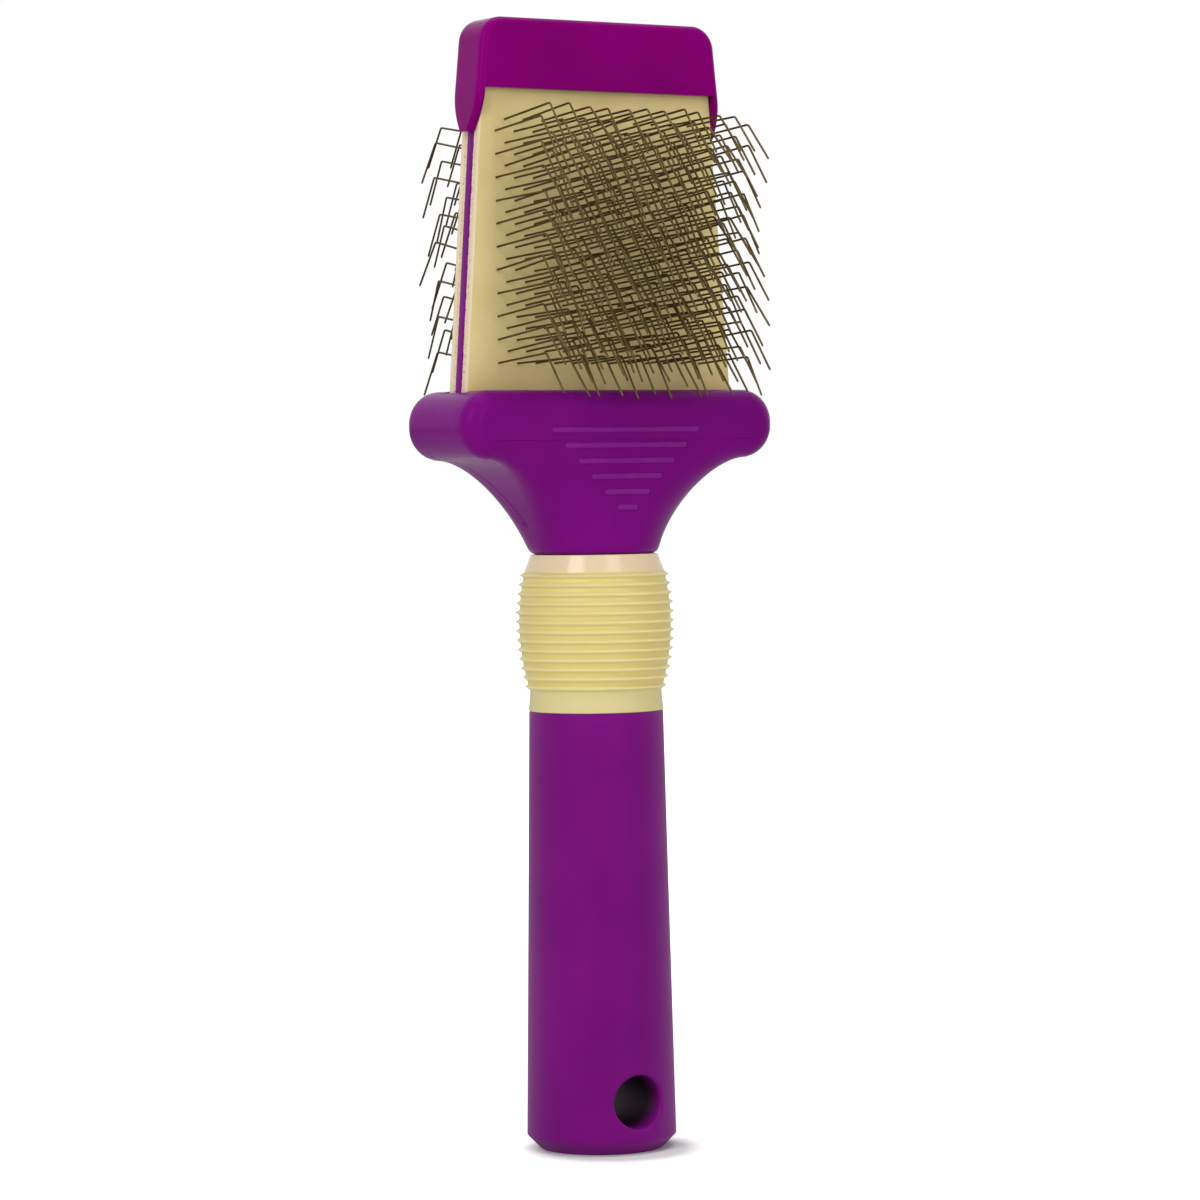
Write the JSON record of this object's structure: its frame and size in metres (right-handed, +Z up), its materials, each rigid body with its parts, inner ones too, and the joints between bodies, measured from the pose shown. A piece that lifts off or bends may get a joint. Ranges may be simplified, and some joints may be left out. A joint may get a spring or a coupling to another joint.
{
  "type": "slicker brush",
  "caption": "Double-sided flexible wire pin grooming brush: a sprung flat head with bent wires front and back, a T-shaped yoke, a ribbed grip and a round handle with a hang hole.",
  "frame": {"origin": "centre of the handle's flat end, which the brush stands on", "axes": "+Z up the handle to the head, X across the head, -Y out of the front pins"},
  "size_m": [0.0658, 0.051, 0.2051],
  "materials": {
    "purple_plastic": "satin moulded",
    "purple_sheet": "satin sheet",
    "cream_grip": "soft satin",
    "cream_rubber": "matt",
    "wired_cloth": "steel wire set in cloth",
    "pin_steel": "drawn wire",
    "pad_cloth": "woven cloth"
  },
  "bodies": {
    "handle": {"handle_tube": "purple_plastic", "grip_sleeve": "cream_grip", "yoke_front": "purple_plastic", "yoke_back": "purple_plastic"},
    "head": {"flex_plate": "purple_sheet", "front_wires": "wired_cloth", "front_pad": "cream_rubber", "back_wires": "wired_cloth", "back_pad": "cream_rubber", "head_cap": "purple_plastic"}
  },
  "joints": [
    {"name": "head_flex", "type": "hinge", "parent": "handle", "child": "head", "pos_m": [0, 0, 0.1383], "axis": [1, 0, 0], "range_deg": [-15, 15], "stiffness_Nm_per_rad": 0.8, "deforming": ["flex_plate"]}
  ]
}
